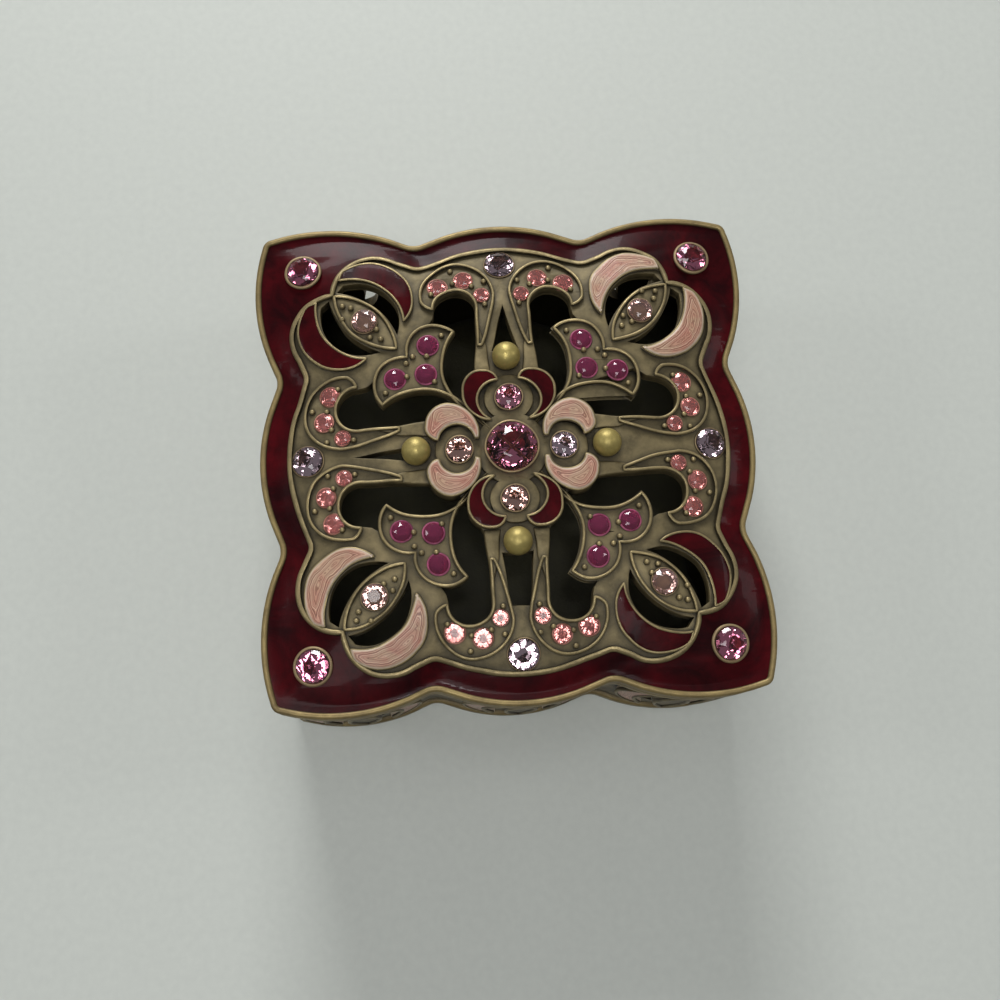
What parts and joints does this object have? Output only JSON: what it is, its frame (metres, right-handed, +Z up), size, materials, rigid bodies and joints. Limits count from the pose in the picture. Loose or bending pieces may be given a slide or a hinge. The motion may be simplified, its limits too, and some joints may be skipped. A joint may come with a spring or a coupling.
{
  "type": "filigree trinket box",
  "caption": "Square trinket box of cast brass with a wavy edge and an openwork, enamelled and jewelled domed lid that lifts off its hollow body.",
  "frame": {"origin": "middle of the underside, on the surface that the box stands on", "axes": "+Z up, -Y towards the side that faces the viewer, +X to the right"},
  "size_m": [0.0604, 0.0604, 0.0316],
  "materials": {
    "antique_brass": "antiqued, matt khaki patina with worn bright edges",
    "burgundy_enamel": "translucent glossy enamel",
    "cream_enamel": "swirled cream and pink glossy enamel",
    "rose_crystal": "foiled cut crystal",
    "pale_crystal": "foiled cut crystal"
  },
  "bodies": {
    "root": {"box_body": "antique_brass", "lid": "antique_brass", "border_enamel": "burgundy_enamel", "crystal_centre": "rose_crystal", "crystal_ring_back": "pale_crystal", "crystal_ring_left": "pale_crystal", "crystal_ring_front": "pale_crystal", "crystal_ring_right": "pale_crystal", "crystal_edge_back": "pale_crystal", "crystal_edge_left": "pale_crystal", "crystal_edge_front": "pale_crystal", "crystal_edge_right": "pale_crystal", "crystal_leaf_back_right": "pale_crystal", "crystal_leaf_back_left": "pale_crystal", "crystal_leaf_front_left": "pale_crystal", "crystal_leaf_front_right": "pale_crystal", "crystal_corner_back_right": "rose_crystal", "crystal_corner_back_left": "rose_crystal", "crystal_corner_front_left": "rose_crystal", "crystal_corner_front_right": "rose_crystal", "petal_enamel_back_right_1": "cream_enamel", "petal_enamel_back_right_2": "cream_enamel", "petal_enamel_back_left_1": "burgundy_enamel", "petal_enamel_back_left_2": "burgundy_enamel", "petal_enamel_front_left_1": "cream_enamel", "petal_enamel_front_left_2": "cream_enamel", "petal_enamel_front_right_1": "burgundy_enamel", "petal_enamel_front_right_2": "burgundy_enamel", "flower_enamel_back_1": "burgundy_enamel", "flower_enamel_back_2": "burgundy_enamel", "flower_enamel_left_1": "cream_enamel", "flower_enamel_left_2": "cream_enamel", "flower_enamel_front_1": "burgundy_enamel", "flower_enamel_front_2": "burgundy_enamel", "flower_enamel_right_1": "cream_enamel", "flower_enamel_right_2": "cream_enamel"}
  },
  "joints": []
}
